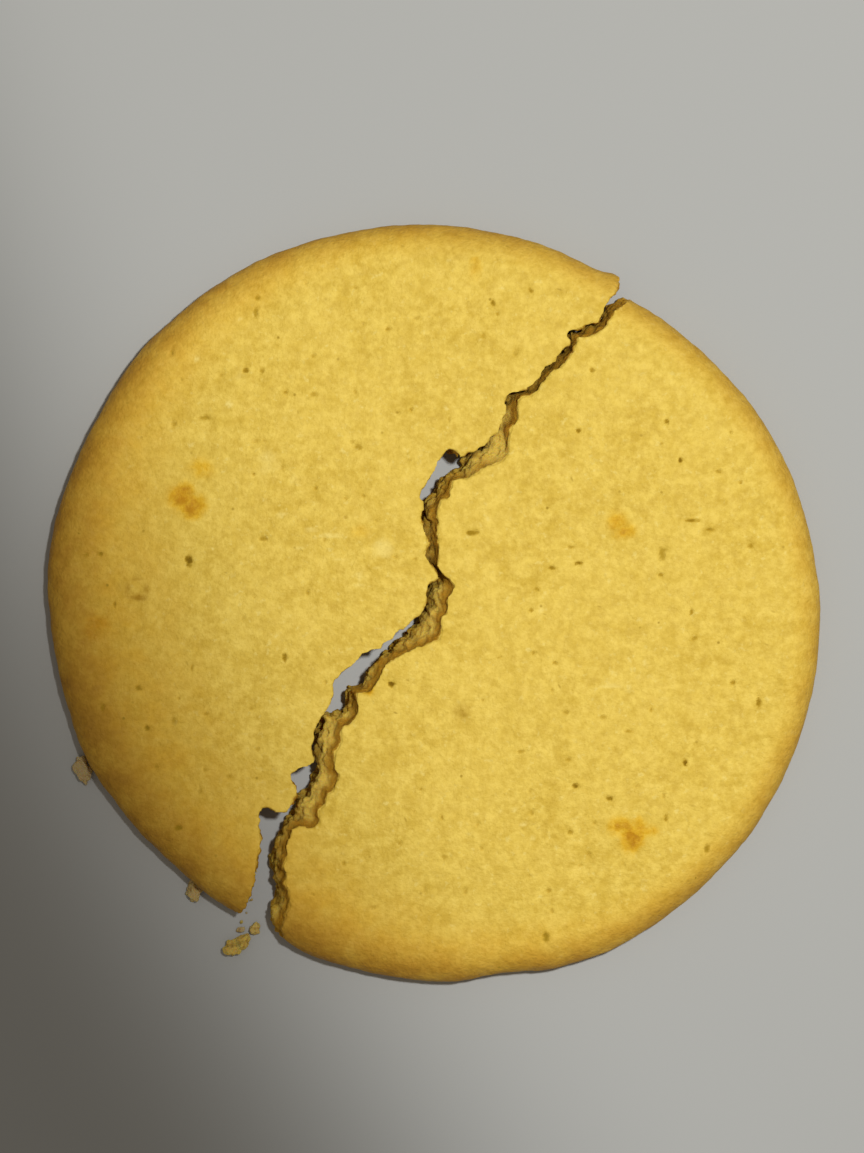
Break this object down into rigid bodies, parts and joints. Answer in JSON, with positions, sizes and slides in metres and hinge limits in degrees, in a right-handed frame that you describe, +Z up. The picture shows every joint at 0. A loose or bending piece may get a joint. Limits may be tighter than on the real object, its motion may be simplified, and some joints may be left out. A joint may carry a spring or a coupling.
{
  "type": "egg cookie",
  "caption": "Round, flat, pale yellow egg cookie with a lightly browned rim, broken right across by a jagged crack, its pieces lying together.",
  "frame": {"origin": "middle of the cookie's box, on the surface that it lies on", "axes": "+Z up through the cookie's thickness; seen from above with +X to the right and +Y away, the break runs from the upper right to the lower left"},
  "size_m": [0.0772, 0.0756, 0.0057],
  "materials": {
    "baked_crust": "matte"
  },
  "bodies": {
    "root": {"left_half": "baked_crust", "right_half": "baked_crust"}
  },
  "joints": []
}
